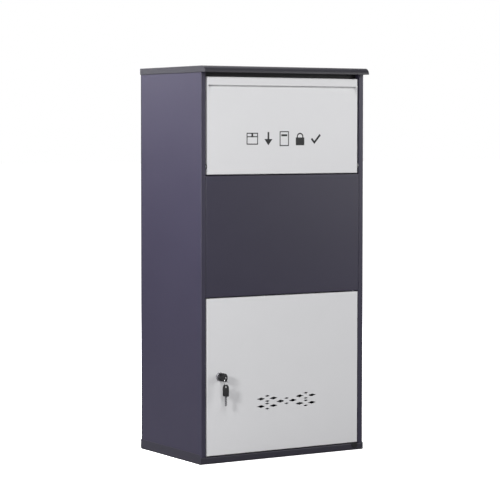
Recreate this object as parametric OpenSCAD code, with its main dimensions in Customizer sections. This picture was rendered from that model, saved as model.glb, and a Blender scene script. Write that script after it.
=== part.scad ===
// Parcel drop box: a folded steel cabinet with a tilting parcel hopper above,
// a fixed panel in the middle and a locked collection door below.
// Millimetres, +Z up, the front faces -Y, +X is to the right as one faces it.
// The origin is on the floor, at the centre of the cabinet between its sides.

/* [Cabinet] */
// Width over the two side panels
body_w = 492; // [484:1:512]
// Depth from the stile faces to the back panel's outer face
body_d = 312; // [306:1:330]
// Thickness of the side, front and inner sheets
sheet_t = 1.2; // [1:0.1:1.3]
// Thickness of the base pan and the top cap
cap_t = 1.5; // [1.4:0.1:1.8]
// Outer radius of a folded edge
bend_r = 2.6; // [2:0.1:3]
// Width of a front stile
stile_w = 14; // [13:1:18]
// Height of the base pan's front wall
rail_h = 18; // [16:1:24]
// Height of the top cap
cap_h = 16; // [15:1:18]
// How far the cap's nose stands in front of the stiles
nose_reach = 23; // [22:1:26]

/* [Front panels] */
// Height of the collection door
door_h = 397.5; // [370:0.5:410]
// Height of the fixed middle panel
mid_h = 305.5; // [300:0.5:320]
// Height of the hopper's front
hopper_h = 245; // [240:0.5:250]
// Gap between one front panel and the next
panel_gap = 2.5; // [2.4:0.1:3]
// Dark gap between the hopper's top and the cap
shadow_gap = 11; // [9:0.5:13]

/* [Hopper] */
// Length of the sloping hopper floor
floor_len = 175; // [165:1:178]
// Slope of the hopper floor when the hopper is shut
floor_tilt = 20; // [18:1:22]
// How far the hopper tilts out
hopper_open = 45; // [45:1:47]
// Height of the finger recess below the pull lip
recess_h = 23; // [20:1:25]
// Height of the pull lip
lip_h = 21; // [20:0.5:23]

/* [Lock and keys] */
// Lock centre, measured from the cabinet's middle
lock_x = -192; // [-196:1:-188]
// Lock centre above the floor
lock_z = 219.5; // [190:0.5:260]
// Diameter of the lock's bezel
bezel_d = 22; // [21:0.5:24]
// Length of a key's head
key_head_l = 30; // [28:1:32]
// Width of a key's head
key_head_w = 21; // [19:0.5:21]
// Length of the part of the blade that shows outside the head
key_blade_l = 24.5; // [22:0.5:25]

/* [Vents] */
// Distance from one group of vent slots to the next
vent_pitch = 58.7; // [56:0.1:62]
// Width of a large diamond slot
vent_w = 25.4; // [22:0.2:26]

/* [Hidden] */

$fn = 48;
bend_steps = 5;
eps = 0.5;

// Main planes
front_y = -body_d / 2;
back_y = body_d / 2;
side_x = body_w / 2;
open_x = side_x - stile_w;
door_z0 = rail_h + 2;
door_z1 = door_z0 + door_h;
mid_z0 = door_z1 + panel_gap;
mid_z1 = mid_z0 + mid_h;
hopper_z0 = mid_z1 + panel_gap;
hopper_z1 = hopper_z0 + hopper_h;
cap_z0 = hopper_z1 + shadow_gap;
top_z = cap_z0 + cap_h;
under_cap = top_z - cap_t;

// Stiles, flanges and rails
lip_y = front_y + 21.6;
lip_x = open_x - 10;
lip_top = mid_z1 - 3.5;
rear_flange_x = side_x - 18;
skirt_h = 25;
rail_y = front_y + 17;
rail_z0 = hopper_z1 - 21;
mid_depth = 20;

// Hopper pivot and the circle that everything in the hopper stays within
hopper_x = open_x - 4.5;
hopper_depth = 14.5;
pivot_y = front_y + 8.5;
pivot_z = hopper_z0 + 20;
pivot_r = 3.5;
sweep_r = hopper_h - 23;
run_gap = 0.06;
bush_r = 4.5;
cheek_x = hopper_x - 2 * sheet_t;
stud_reach = 150;
stud_r = 4;
stud_y = pivot_y + stud_reach * cos(75 - hopper_open);
stud_z = pivot_z + stud_reach * sin(75 - hopper_open);
stop_y = pivot_y + stud_reach * cos(75) - stud_r - 0.5;
stop_z = pivot_z + stud_reach * sin(75);

// Finger recess
recess_x = cheek_x - sheet_t;
lip_z0 = hopper_z1 - lip_h;
recess_z0 = lip_z0 - recess_h;
slope_back_y = front_y + hopper_depth - sheet_t;
slope = 0.391;
slope_top_z = recess_z0 + (slope_back_y - front_y) / slope;

// Hopper floor, as points of the side view
floor_front = [front_y + 2 * sheet_t, hopper_z0 + 10];
floor_dir = [cos(floor_tilt), -sin(floor_tilt)];
floor_up = [sin(floor_tilt), cos(floor_tilt)];
floor_rear = floor_front + floor_len * floor_dir;

// Door and its hinge
door_x = open_x - 2.5;
door_depth = 16;
hinge_x = door_x - 9.5;
hinge_y = front_y + 8;
hinge_r = 2.5;
lug_t = 1.4;
door_bush_r = 4;
bush_collar_r = 5.2;

// Wall and floor fixings
wall_hole_r = 4;
wall_dx = 300;
wall_z = [250, 850];
anchor_r = 5.5;
anchor_dx = 340;
anchor_dy = 200;

// Lock
barrel_r = 9.5;
plug_r = 6.5;
bezel_h = 5;
cam_y = lip_y + sheet_t + 0.3;
cam_t = 2;
cam_len = 36;
plug_back = cam_y - 0.1;
square_w = 7;
blade_t = 2;
blade_w = 7;
slot_gap = 0.15;

// Keys and the ring that joins them
key_t = 3;
key_hole_r = 3.5;
key_hole_in = 6.1;
head_y1 = front_y - bezel_h - 1;
head_y0 = head_y1 - key_head_l;
ring_y = head_y0 + key_hole_in;
ring_wire = 0.7;
ring_r = 9.8;
ring_turn = 40;
wire_drop = 1.5;
ring_top_z = lock_z - wire_drop;
ring_z = ring_top_z - ring_r;
spare_hole_z = ring_z - ring_r - wire_drop;
spare_turn = -80;

// Vent slots
vent_x = 8.4;
vent_z = 144.9;
vent_rise = 9.7;

// Pictograms on the hopper's front
picto_z = 818;
picto_size = 38;
picto_pitch = 48;
picto_t = 0.25;
stroke = 2.6;

// ---------- shared shapes ----------

function unit(v) = v / norm(v);
function left_of(v) = [-v[1], v[0]];
function heading(a, b) = atan2(b[1] - a[1], b[0] - a[0]);
function wrap(a) = a > 180 ? a - 360 : a < -180 ? a + 360 : a;

// Points along one face of a folded sheet. The path is the face on the right of the travel, the
// sheet lies on its left, and lift is how far across the sheet the points are taken.
function bend_points(p, i, r, t, lift) =
  let (
    a0 = heading(p[i - 1], p[i]),
    turn = wrap(heading(p[i], p[i + 1]) - a0),
    side = turn > 0 ? 1 : -1,
    rr = turn > 0 ? r : r - t,
    d = [cos(a0), sin(a0)],
    centre = p[i] - d * rr * tan(abs(turn) / 2) + left_of(d) * side * rr
  )
  [for (k = [0:bend_steps])
    let (a = a0 + turn * k / bend_steps, n = [-sin(a), cos(a)])
    centre - n * side * rr + n * lift];

function face_points(p, r, t, lift) = concat(
  [p[0] + left_of(unit(p[1] - p[0])) * lift],
  [for (i = [1:1:len(p) - 2]) each bend_points(p, i, r, t, lift)],
  [p[len(p) - 1] + left_of(unit(p[len(p) - 1] - p[len(p) - 2])) * lift]
);

function backwards(v) = [for (i = [len(v) - 1:-1:0]) v[i]];

module sheet_outline(path, t, r) {
  polygon(concat(face_points(path, r, t, 0), backwards(face_points(path, r, t, t))));
}

// A side view (Y, Z) carried along X
module along_x(x0, x1) {
  translate([x0, 0, 0])
    rotate([90, 0, 90])
      linear_extrude(x1 - x0)
        children();
}

// A front view (X, Z) carried along Y
module along_y(y0, y1) {
  translate([0, y1, 0])
    rotate([90, 0, 0])
      linear_extrude(y1 - y0)
        children();
}

// A plan view (X, Y) carried along Z
module along_z(z0, z1) {
  translate([0, 0, z0])
    linear_extrude(z1 - z0)
      children();
}

module block(low, high) {
  translate(low)
    cube(high - low);
}

module rod_x(x0, x1, y, z, r) {
  translate([x0, y, z])
    rotate([0, 90, 0])
      cylinder(h = x1 - x0, r = r);
}

module rod_y(y0, y1, x, z, r) {
  translate([x, y1, z])
    rotate([90, 0, 0])
      cylinder(h = y1 - y0, r = r);
}

module rod_z(z0, z1, x, y, r) {
  translate([x, y, z0])
    cylinder(h = z1 - z0, r = r);
}

module both_sides() {
  children();
  mirror([1, 0, 0])
    children();
}

// Outline of a tray seen from its end: a straight back and two rounded front corners.
// a0 and a1 are the ends across, b0 the front and b1 the back.
function tray_points(a0, a1, b0, b1, r) = concat(
  [[a1, b1], [a0, b1]],
  [for (k = [0:bend_steps]) let (a = 180 + 90 * k / bend_steps) [a0 + r + r * cos(a), b0 + r + r * sin(a)]],
  [for (k = [0:bend_steps]) let (a = 270 + 90 * k / bend_steps) [a1 - r + r * cos(a), b0 + r + r * sin(a)]]
);

module tray_block(half_w, z0, z1, y0, y1, r) {
  intersection() {
    along_z(z0, z1)
      polygon(tray_points(-half_w, half_w, y0, y1, r));
    along_x(-half_w, half_w)
      polygon([for (p = tray_points(z0, z1, y0, y1, r)) [p[1], p[0]]]);
  }
}

// A front panel folded back on all four sides
module folded_panel(half_w, z0, z1, depth) {
  difference() {
    tray_block(half_w, z0, z1, front_y, front_y + depth, bend_r);
    tray_block(
      half_w - sheet_t, z0 + sheet_t, z1 - sheet_t,
      front_y + sheet_t, front_y + depth + eps, bend_r - sheet_t
    );
  }
}

// A top-hat rib on the inner face of a panel
module hat_rib(x0, x1, z) {
  inner_y = front_y + sheet_t;
  crown_y = inner_y + 9;
  path = [
    [inner_y, z + 26], [inner_y, z + 16], [crown_y, z + 11],
    [crown_y, z - 11], [inner_y, z - 16], [inner_y, z - 26]
  ];
  along_x(x0, x1)
    sheet_outline(path, sheet_t, bend_r);
}

// ---------- cabinet ----------

// The right side panel: stile, its return and lip, the side itself and the rear flange
module side_panel() {
  path = [
    [lip_x, lip_y], [open_x, lip_y], [open_x, front_y], [side_x, front_y],
    [side_x, back_y - sheet_t], [rear_flange_x, back_y - sheet_t]
  ];
  inner_x = side_x - sheet_t;
  difference() {
    along_z(cap_t, under_cap)
      sheet_outline(path, sheet_t, bend_r);
    block([lip_x - eps, lip_y - 2.4, lip_top], [inner_x - 4, lip_y + 4, top_z]);
    block([lip_x - eps, front_y - eps, 0], [inner_x, lip_y + 8, rail_h]);
    block([lip_x - eps, front_y - eps, 0], [side_x + eps, front_y + cap_t, rail_h]);
    block([rear_flange_x - eps, back_y - 5, 0], [inner_x, back_y, skirt_h]);
    rod_x(open_x - eps, open_x + 3, pivot_y, pivot_z, pivot_r);
    for (z = mid_rivet_z)
      rod_x(open_x - eps, open_x + 3, mid_rivet_y, z, rivet_r);
    for (z = back_rivet_z)
      rod_y(back_y - 4, back_y, back_rivet_x, z, rivet_r);
  }
}

module right_side() {
  color("#55536a")
    side_panel();
}

module left_side() {
  color("#55536a")
    mirror([1, 0, 0])
      side_panel();
}

rivet_r = 2;
rivet_head_r = 4;
rivet_head_h = 1.4;
back_rivet_x = rear_flange_x + 8;
back_rivet_z = [60, 270, 480, 690, 900];
mid_rivet_y = front_y + 12;
mid_rivet_z = [mid_z0 + 30, mid_z0 + 150, mid_z0 + 270];

module back_panel() {
  color("#4a4860")
    difference() {
      block([-side_x, back_y - sheet_t, bend_r], [side_x, back_y, under_cap]);
      for (x = [-wall_dx / 2, wall_dx / 2])
        for (z = wall_z)
          rod_y(back_y - 3, back_y + eps, x, z, wall_hole_r);
      both_sides()
        for (z = back_rivet_z)
          rod_y(back_y - 3, back_y + eps, back_rivet_x, z, rivet_r);
      for (x = baffle_rivet_x)
        rod_y(back_y - 3, back_y + eps, x, baffle_rivet_z, rivet_r);
    }
}

// The base pan: floor, front rail with its flange, and skirts outside the other three sides
module base_pan() {
  path = [
    [front_y + mid_depth + 2, rail_h], [front_y, rail_h], [front_y, 0],
    [back_y + cap_t, 0], [back_y + cap_t, skirt_h]
  ];
  skirt_x = side_x + cap_t;
  color("#3c3a46")
    difference() {
      union() {
        along_x(-skirt_x, skirt_x)
          sheet_outline(path, cap_t, bend_r);
        both_sides()
          along_x(side_x, skirt_x)
            polygon([
              [front_y, bend_r], [front_y + bend_r, 0], [back_y, 0], [back_y + cap_t, bend_r],
              [back_y + cap_t, skirt_h], [front_y + 10, skirt_h], [front_y, rail_h]
            ]);
      }
      both_sides()
        block([side_x - sheet_t, front_y + cap_t, cap_t], [side_x, back_y, skirt_h + eps]);
      for (x = [-anchor_dx / 2, anchor_dx / 2])
        for (y = [-anchor_dy / 2, anchor_dy / 2])
          rod_z(-eps, cap_t + eps, x, y, anchor_r);
      rod_z(rail_h - 3, rail_h + eps, hinge_x, hinge_y, hinge_r);
    }
}

// Side view of the cap's outside: flat top, rounded nose and straight back
nose_r = cap_h;
nose_y = front_y - nose_reach + nose_r;
function nose_points(r, z_low) = let (a_end = 180 - asin((z_low - top_z + nose_r) / r))
  [for (k = [0:12]) let (a = 90 + (a_end - 90) * k / 12) [nose_y + r * cos(a), top_z - nose_r + r * sin(a)]];

module top_cap() {
  outer = concat(nose_points(nose_r, cap_z0), [[back_y + cap_t, cap_z0], [back_y + cap_t, top_z]]);
  inner = concat(
    nose_points(nose_r - cap_t, cap_z0 + cap_t),
    [
      [front_y, cap_z0 + cap_t], [front_y, cap_z0 - eps],
      [back_y, cap_z0 - eps], [back_y, under_cap]
    ]
  );
  cap_x = side_x + cap_t;
  color("#5b5a66") {
    difference() {
      along_x(-cap_x, cap_x)
        polygon(outer);
      along_x(-side_x, side_x)
        polygon(inner);
    }
  }
}

// The rail behind the shadow gap: it ties the stiles together and carries the hopper's buffers
module head_rail() {
  path = [[front_y + 44, under_cap], [rail_y, under_cap], [rail_y, rail_z0]];
  color("#4a4860")
    difference() {
      along_x(-open_x, open_x)
        sheet_outline(path, sheet_t, bend_r);
      both_sides()
        block([cheek_x - 4, rail_y - 2, rail_z0 - 1], [open_x + 1, rail_y + 4, hopper_z1 - 1]);
      for (x = buffer_x)
        rod_y(rail_y - eps, rail_y + 4, x, buffer_z, buffer_stem_r);
    }
}

module mid_panel() {
  color("#45435a")
    difference() {
      folded_panel(open_x, mid_z0, mid_z1, mid_depth);
      rod_z(mid_z0 - eps, mid_z0 + 4, hinge_x, hinge_y, hinge_r);
      both_sides()
        for (z = mid_rivet_z)
          rod_x(open_x - 4, open_x + eps, mid_rivet_y, z, rivet_r);
    }
}

module mid_stiffener() {
  color("#8d8f94")
    hat_rib(-open_x + 20, open_x - 20, mid_z0 + mid_h / 2);
}

baffle_rivet_x = [-180, 0, 180];
baffle_rivet_z = pivot_z + 190;

// The anti-fishing baffle: a sloping sheet behind the hopper's swing
module chute_baffle() {
  inner_y = back_y - sheet_t;
  path = [
    [front_y + 226, pivot_z + 92], [front_y + 226, pivot_z + 104],
    [inner_y, pivot_z + 177], [inner_y, pivot_z + 202]
  ];
  color("#6a6b72")
    difference() {
      along_x(-rear_flange_x + 2, rear_flange_x - 2)
        sheet_outline(path, sheet_t, bend_r);
      for (x = baffle_rivet_x)
        rod_y(inner_y - 4, back_y, x, baffle_rivet_z, rivet_r);
    }
}

module hopper_pivot_pins() {
  color("#b9bbc0")
    both_sides() {
      rod_x(cheek_x, open_x + sheet_t + 2, pivot_y, pivot_z, pivot_r);
      rod_x(hopper_x + 1.9, open_x, pivot_y, pivot_z, pivot_r + 3);
      rod_x(open_x + sheet_t, open_x + sheet_t + 2, pivot_y, pivot_z, pivot_r + 2);
    }
}

module hopper_stop_brackets() {
  bracket_t = 1.5;
  inner_x = side_x - sheet_t;
  color("#9a9ca1")
    both_sides() {
      block([open_x - 3, stop_y - bracket_t, stop_z - 15], [inner_x, stop_y, stop_z + 15]);
      block([inner_x - bracket_t, stop_y - 20, stop_z - 15], [inner_x, stop_y, stop_z + 15]);
    }
}

buffer_x = [-150, 150];
buffer_z = hopper_z1 - 6;
buffer_r = 5;
buffer_stem_r = 2.5;

module hopper_buffers() {
  color("#232326")
    for (x = buffer_x) {
      rod_y(front_y + hopper_depth + 0.3, rail_y, x, buffer_z, buffer_r);
      rod_y(rail_y, rail_y + sheet_t, x, buffer_z, buffer_stem_r);
      rod_y(rail_y + sheet_t, rail_y + sheet_t + 2, x, buffer_z, buffer_stem_r + 1.5);
    }
}

// The lower hinge lug: an ear that holds the pin and a rounded tongue on the front rail's face
module lower_hinge_lug() {
  tongue_w = 18;
  tongue_h = 12;
  corner_r = 6;
  color("#2c2b31")
    difference() {
      union() {
        along_z(rail_h, rail_h + lug_t) {
          translate([hinge_x, hinge_y])
            circle(r = 7);
          translate([hinge_x - 7, front_y - lug_t])
            square([14, hinge_y - front_y + lug_t]);
        }
        along_y(front_y - lug_t, front_y)
          translate([hinge_x, rail_h - tongue_h]) {
            translate([-tongue_w / 2, corner_r])
              square([tongue_w, tongue_h - corner_r + lug_t]);
            translate([corner_r - tongue_w / 2, 0])
              square([tongue_w - 2 * corner_r, tongue_h]);
            for (side = [-1, 1])
              translate([side * (tongue_w / 2 - corner_r), corner_r])
                circle(r = corner_r);
          }
      }
      rod_z(rail_h - eps, rail_h + lug_t + eps, hinge_x, hinge_y, hinge_r);
    }
}

module upper_hinge_pin() {
  color("#b9bbc0") {
    rod_z(door_z1 - 9, mid_z0 + sheet_t, hinge_x, hinge_y, hinge_r);
    rod_z(mid_z0 + sheet_t, mid_z0 + sheet_t + 2, hinge_x, hinge_y, hinge_r + 2);
  }
}

module lower_hinge_pin() {
  color("#b9bbc0") {
    rod_z(rail_h - cap_t, door_z0 + 9, hinge_x, hinge_y, hinge_r);
    rod_z(rail_h - cap_t - 2, rail_h - cap_t, hinge_x, hinge_y, hinge_r + 2);
  }
}

// A sponge strip on the lock side's lip, which the shut door presses
module door_seal() {
  color("#1d1d20")
    along_z(door_z0 + 4, door_z1 - 4)
      translate([-lip_x - 8.5, front_y + door_depth + 0.3])
        square([8, lip_y - front_y - door_depth - 0.3]);
}

module back_rivets() {
  color("#7c7b86") {
    both_sides()
      for (z = back_rivet_z)
        back_rivet(back_rivet_x, z);
    for (x = baffle_rivet_x)
      back_rivet(x, baffle_rivet_z);
  }
}

module back_rivet(x, z) {
  rod_y(back_y - 2 * sheet_t, back_y, x, z, rivet_r);
  rod_y(back_y, back_y + rivet_head_h, x, z, rivet_head_r);
  rod_y(back_y - 2 * sheet_t - 1.2, back_y - 2 * sheet_t, x, z, rivet_r + 0.8);
}

module mid_rivets() {
  color("#7c7b86")
    both_sides()
      for (z = mid_rivet_z) {
        rod_x(open_x - sheet_t, open_x + sheet_t, mid_rivet_y, z, rivet_r);
        rod_x(open_x - sheet_t - 1.2, open_x - sheet_t, mid_rivet_y, z, rivet_head_r - 1);
        rod_x(open_x + sheet_t, open_x + sheet_t + 1.2, mid_rivet_y, z, rivet_head_r - 1);
      }
}

// ---------- hopper ----------

// Side view of the finger recess: in below the rounded pull lip, up behind it, and back
// down the slope to the panel's face
function recess_cavity() = concat(
  [
    [front_y - 1, recess_z0 - 1 / slope], [slope_back_y, slope_top_z],
    [slope_back_y, hopper_z1 - sheet_t], [front_y + 2 * sheet_t, hopper_z1 - sheet_t]
  ],
  [for (k = [0:8]) let (a = -22.5 * k) [front_y + sheet_t * (1 + cos(a)), lip_z0 + sheet_t * (1 + sin(a))]],
  [[front_y - 1, lip_z0 + sheet_t]]
);

// The hopper's front: a folded panel with a full-width pull lip over a finger recess
module hopper_front() {
  recess_shell = [
    [front_y + sheet_t / 2, recess_z0 - 3], [slope_back_y + sheet_t, slope_top_z - sheet_t / 2],
    [slope_back_y + sheet_t, hopper_z1 - sheet_t / 2], [front_y + sheet_t / 2, hopper_z1 - sheet_t / 2]
  ];
  color("#d4d5d8")
    difference() {
      union() {
        folded_panel(hopper_x, hopper_z0, hopper_z1, hopper_depth);
        along_x(-recess_x - sheet_t, recess_x + sheet_t)
          polygon(recess_shell);
      }
      along_x(-recess_x, recess_x)
        polygon(recess_cavity());
      both_sides()
        rod_x(hopper_x - 3, hopper_x + eps, pivot_y, pivot_z, bush_r);
    }
}

// The floor: a flange on the front panel, the slope and a turned-down rear edge
module hopper_floor() {
  hem = floor_rear - 12 * floor_up;
  path = [hem, floor_rear, floor_front, floor_front + [0, 15]];
  flange_a = floor_front + 32 * floor_dir;
  flange_b = floor_front + 160 * floor_dir;
  color("#9c9ea3")
    difference() {
      union() {
        along_x(-cheek_x, cheek_x)
          sheet_outline(path, sheet_t, bend_r);
        both_sides()
          along_x(cheek_x - sheet_t, cheek_x)
            polygon([
              flange_a - 0.4 * floor_up, flange_b - 0.4 * floor_up,
              flange_b + 12 * floor_up, flange_a + 12 * floor_up
            ]);
      }
      hopper_rivet_holes();
    }
}

module hopper_cheek() {
  outline = [
    [front_y + bend_r, hopper_z0 + bend_r], [front_y + 22, hopper_z0 + 0.6],
    floor_rear + [0, -7], [floor_rear[0], pivot_z + sweep_r], [front_y + bend_r, pivot_z + sweep_r]
  ];
  difference() {
    along_x(cheek_x, cheek_x + sheet_t)
      intersection() {
        polygon(outline);
        translate([pivot_y, pivot_z])
          circle(r = sweep_r, $fn = 96);
      }
    rod_x(cheek_x - eps, hopper_x, pivot_y, pivot_z, bush_r);
    rod_x(cheek_x - eps, hopper_x, stud_y, stud_z, stud_r - 1);
    hopper_rivet_holes();
  }
}

module right_cheek() {
  color("#c4c5c9")
    hopper_cheek();
}

module left_cheek() {
  color("#c4c5c9")
    mirror([1, 0, 0])
      hopper_cheek();
}

rivet_spots = [for (s = [50, 96, 142]) floor_front + s * floor_dir + 6.5 * floor_up];

module hopper_rivet_holes() {
  both_sides()
    for (p = rivet_spots)
      rod_x(cheek_x - sheet_t - eps, cheek_x + sheet_t + eps, p[0], p[1], rivet_r);
}

module hopper_rivets() {
  color("#7c7b86")
    both_sides()
      for (p = rivet_spots) {
        rod_x(cheek_x - sheet_t, cheek_x + sheet_t, p[0], p[1], rivet_r);
        rod_x(cheek_x + sheet_t, cheek_x + sheet_t + 1.1, p[0], p[1], rivet_head_r - 0.6);
        rod_x(cheek_x - sheet_t - 1, cheek_x - sheet_t, p[0], p[1], rivet_r + 0.8);
      }
}

module hopper_stiffener() {
  color("#8d8f94")
    hat_rib(-cheek_x + 16, cheek_x - 16, hopper_z0 + 105);
}

module hopper_bushes() {
  color("#efefe9")
    both_sides()
      difference() {
        union() {
          rod_x(cheek_x, hopper_x, pivot_y, pivot_z, bush_r);
          rod_x(hopper_x, hopper_x + 1.2, pivot_y, pivot_z, bush_r + 2.5);
        }
        rod_x(cheek_x - eps, hopper_x + 2, pivot_y, pivot_z, pivot_r + run_gap);
      }
}

module hopper_stop_studs() {
  color("#b9bbc0")
    both_sides() {
      rod_x(cheek_x + sheet_t, side_x - sheet_t - 6, stud_y, stud_z, stud_r);
      rod_x(cheek_x, cheek_x + sheet_t, stud_y, stud_z, stud_r - 1);
      rod_x(cheek_x - 2, cheek_x, stud_y, stud_z, stud_r + 1.5);
    }
}

// ---------- pictograms: parcel, arrow, drop slot, padlock, tick ----------

module frame_2d(w, h) {
  difference() {
    square([w, h], center = true);
    square([w - 2 * stroke, h - 2 * stroke], center = true);
  }
}

module bar_2d(a, b) {
  translate(a)
    rotate(heading(a, b))
      translate([0, -stroke / 2])
        square([norm(b - a), stroke]);
}

module parcel_2d() {
  frame_2d(picto_size - 4, picto_size - 8);
  bar_2d([-picto_size / 2 + 3, 5], [picto_size / 2 - 3, 5]);
  translate([-stroke, 5])
    square([2 * stroke, picto_size / 2 - 9]);
}

module arrow_2d() {
  translate([-stroke, -2])
    square([2 * stroke, picto_size / 2]);
  polygon([[-12, -1], [12, -1], [0, -17]]);
}

module slot_2d() {
  frame_2d(picto_size - 10, picto_size);
  translate([-9, 6])
    square([18, 2 * stroke]);
}

module padlock_2d() {
  translate([0, -7])
    square([26, 20], center = true);
  difference() {
    translate([0, 5])
      circle(r = 10);
    translate([0, 5])
      circle(r = 10 - 1.3 * stroke);
    translate([-15, -11])
      square([30, 14]);
  }
}

module tick_2d() {
  polygon([[-15, -2], [-11, 2], [-4, -6], [12, 12], [16, 8], [-4, -14]]);
}

module front_pictograms() {
  color("#3a3a3c")
    along_y(front_y - picto_t, front_y)
      translate([0, picto_z]) {
        translate([-2 * picto_pitch, 0]) parcel_2d();
        translate([-picto_pitch, 0]) arrow_2d();
        slot_2d();
        translate([picto_pitch, 0]) padlock_2d();
        translate([2 * picto_pitch, 0]) tick_2d();
      }
}

// ---------- door ----------

module diamond(w, h) {
  polygon([[-w / 2, 0], [0, -h / 2], [w / 2, 0], [0, h / 2]]);
}

// One group of vent slots: two wide diamonds side by side, a small one above and one below
module vent_group() {
  for (side = [-1, 1]) {
    translate([side * 18.9, 0])
      diamond(vent_w, 7.2);
    translate([0, side * 6.6])
      diamond(14.8, 4.4);
  }
}

module vents() {
  for (spot = [[-1, 1], [-1, -1], [0, 0], [1, 1], [1, -1]])
    translate([vent_x + spot[0] * vent_pitch, vent_z + spot[1] * vent_rise])
      vent_group();
}

// The barrel's outline, with two flats that stop it turning in the door
module barrel_2d() {
  translate([lock_x, lock_z])
    intersection() {
      circle(r = barrel_r);
      square([2 * barrel_r, 16], center = true);
    }
}

module door_skin() {
  color("#cfd0d3")
    difference() {
      folded_panel(door_x, door_z0, door_z1, door_depth);
      along_y(front_y - eps, front_y + sheet_t + eps) {
        vents();
        barrel_2d();
      }
      for (z = [door_z0 - eps, door_z1 - 3])
        rod_z(z, z + 3 + eps, hinge_x, hinge_y, door_bush_r);
    }
}

module door_stiffener() {
  color("#8d8f94")
    hat_rib(-door_x + 14, door_x - 24, door_z0 + 285);
}

module door_bushes() {
  color("#efefe9")
    for (z = [door_z0, door_z1 - sheet_t - 3])
      difference() {
        union() {
          rod_z(z, z + sheet_t + 3, hinge_x, hinge_y, door_bush_r);
          rod_z(z == door_z0 ? z + sheet_t : z, z == door_z0 ? z + sheet_t + 3 : z + 3, hinge_x, hinge_y, bush_collar_r);
        }
        rod_z(z - eps, z + sheet_t + 3 + eps, hinge_x, hinge_y, hinge_r + run_gap);
      }
}

// ---------- lock ----------

module lock_body() {
  chamfer = 1.2;
  color("#a8aab0")
    difference() {
      union() {
        translate([lock_x, front_y, lock_z])
          rotate([90, 0, 0])
            rotate_extrude()
              polygon([
                [0, 0], [bezel_d / 2, 0], [bezel_d / 2, bezel_h - chamfer],
                [bezel_d / 2 - chamfer, bezel_h], [0, bezel_h]
              ]);
        along_y(front_y, lip_y - 0.6)
          barrel_2d();
      }
      rod_y(front_y - bezel_h - eps, back_y, lock_x, lock_z, plug_r);
    }
}

module lock_nut() {
  color("#a8aab0")
    along_y(front_y + sheet_t, front_y + sheet_t + 3.5)
      translate([lock_x, lock_z])
        difference() {
          circle(r = 15, $fn = 6);
          circle(r = barrel_r);
        }
}

module lock_plug() {
  color("#c9cacd")
    difference() {
      union() {
        rod_y(front_y - bezel_h - 0.4, plug_back, lock_x, lock_z, plug_r - run_gap);
        along_y(plug_back, cam_y + cam_t)
          translate([lock_x, lock_z])
            square(square_w, center = true);
      }
      block(
        [
          lock_x - blade_t / 2 - slot_gap, front_y - bezel_h - 2,
          lock_z - blade_w / 2 - slot_gap
        ],
        [
          lock_x + blade_t / 2 + slot_gap, head_y1 + key_blade_l + 0.6,
          lock_z + blade_w / 2 + slot_gap
        ]
      );
      rod_y(cam_y - 4, cam_y + cam_t + eps, lock_x, lock_z, 2);
    }
}

module lock_cam() {
  color("#c9cacd")
    along_y(cam_y, cam_y + cam_t)
      translate([lock_x, lock_z])
        difference() {
          union() {
            circle(r = 10);
            translate([-7, -cam_len])
              square([14, cam_len]);
          }
          square(square_w, center = true);
        }
}

module cam_screw() {
  color("#b9bbc0") {
    rod_y(cam_y - 4, cam_y + cam_t, lock_x, lock_z, 2);
    rod_y(cam_y + cam_t, cam_y + cam_t + 3, lock_x, lock_z, 6);
  }
}

// ---------- keys ----------

// A key in its own plane: the head's outer end at the origin, the blade towards +v
module key_head_2d() {
  r_top = 9;
  r_low = 3.5;
  w = key_head_w / 2;
  difference() {
    union() {
      translate([-w + r_top, 0])
        square([key_head_w - 2 * r_top, key_head_l]);
      translate([-w, r_top])
        square([key_head_w, key_head_l - r_top - r_low]);
      translate([-w + r_low, r_top])
        square([key_head_w - 2 * r_low, key_head_l - r_top]);
      for (side = [-1, 1]) {
        translate([side * (w - r_top), r_top])
          circle(r = r_top);
        translate([side * (w - r_low), key_head_l - r_low])
          circle(r = r_low);
      }
    }
    translate([0, key_hole_in])
      circle(r = key_hole_r);
  }
}

blade_in = 9;

module key_blade_2d() {
  cut = [for (k = [0:4]) [blade_w / 2, key_head_l + 5 + 4 * k]];
  difference() {
    union() {
      translate([-blade_w / 2, key_head_l - blade_in])
        square([blade_w, key_blade_l + blade_in - 2]);
      translate([0, key_head_l + key_blade_l - 2])
        polygon([[-blade_w / 2, 0], [blade_w / 2, 0], [blade_w / 2 - 2, 2], [-blade_w / 2 + 2, 2]]);
    }
    for (c = cut)
      translate(c)
        polygon([[eps, -1.6], [-1.1, 0], [eps, 1.6]]);
  }
}

module head_solid() {
  difference() {
    translate([0, 0, -key_t / 2])
      linear_extrude(key_t)
        key_head_2d();
    translate([-blade_w / 2, key_head_l - blade_in, -blade_t / 2])
      cube([blade_w, blade_in + eps, blade_t]);
  }
}

module blade_solid() {
  translate([0, 0, -blade_t / 2])
    linear_extrude(blade_t)
      key_blade_2d();
}

// Stands a key in the lock, its plane upright and its blade pointing back
module in_lock() {
  translate([lock_x, head_y0, lock_z])
    rotate([0, 90, 0])
      children();
}

// Hangs a key from the ring, its blade pointing down
module on_ring() {
  translate([lock_x, ring_y, spare_hole_z + key_hole_in])
    rotate([0, 0, spare_turn])
      rotate([-90, 0, 0])
        children();
}

module key_head() {
  color("#161617")
    in_lock()
      head_solid();
}

module key_blade() {
  color("#b9bbc0")
    in_lock()
      blade_solid();
}

module spare_key_head() {
  color("#161617")
    on_ring()
      head_solid();
}

module spare_key_blade() {
  color("#b9bbc0")
    on_ring()
      blade_solid();
}

module key_ring() {
  color("#b9bbc0")
    translate([lock_x, ring_y, ring_z])
      rotate([0, 0, ring_turn])
        rotate([90, 0, 0])
          rotate_extrude($fn = 64)
            translate([ring_r, 0])
              circle(r = ring_wire, $fn = 24);
}

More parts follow.
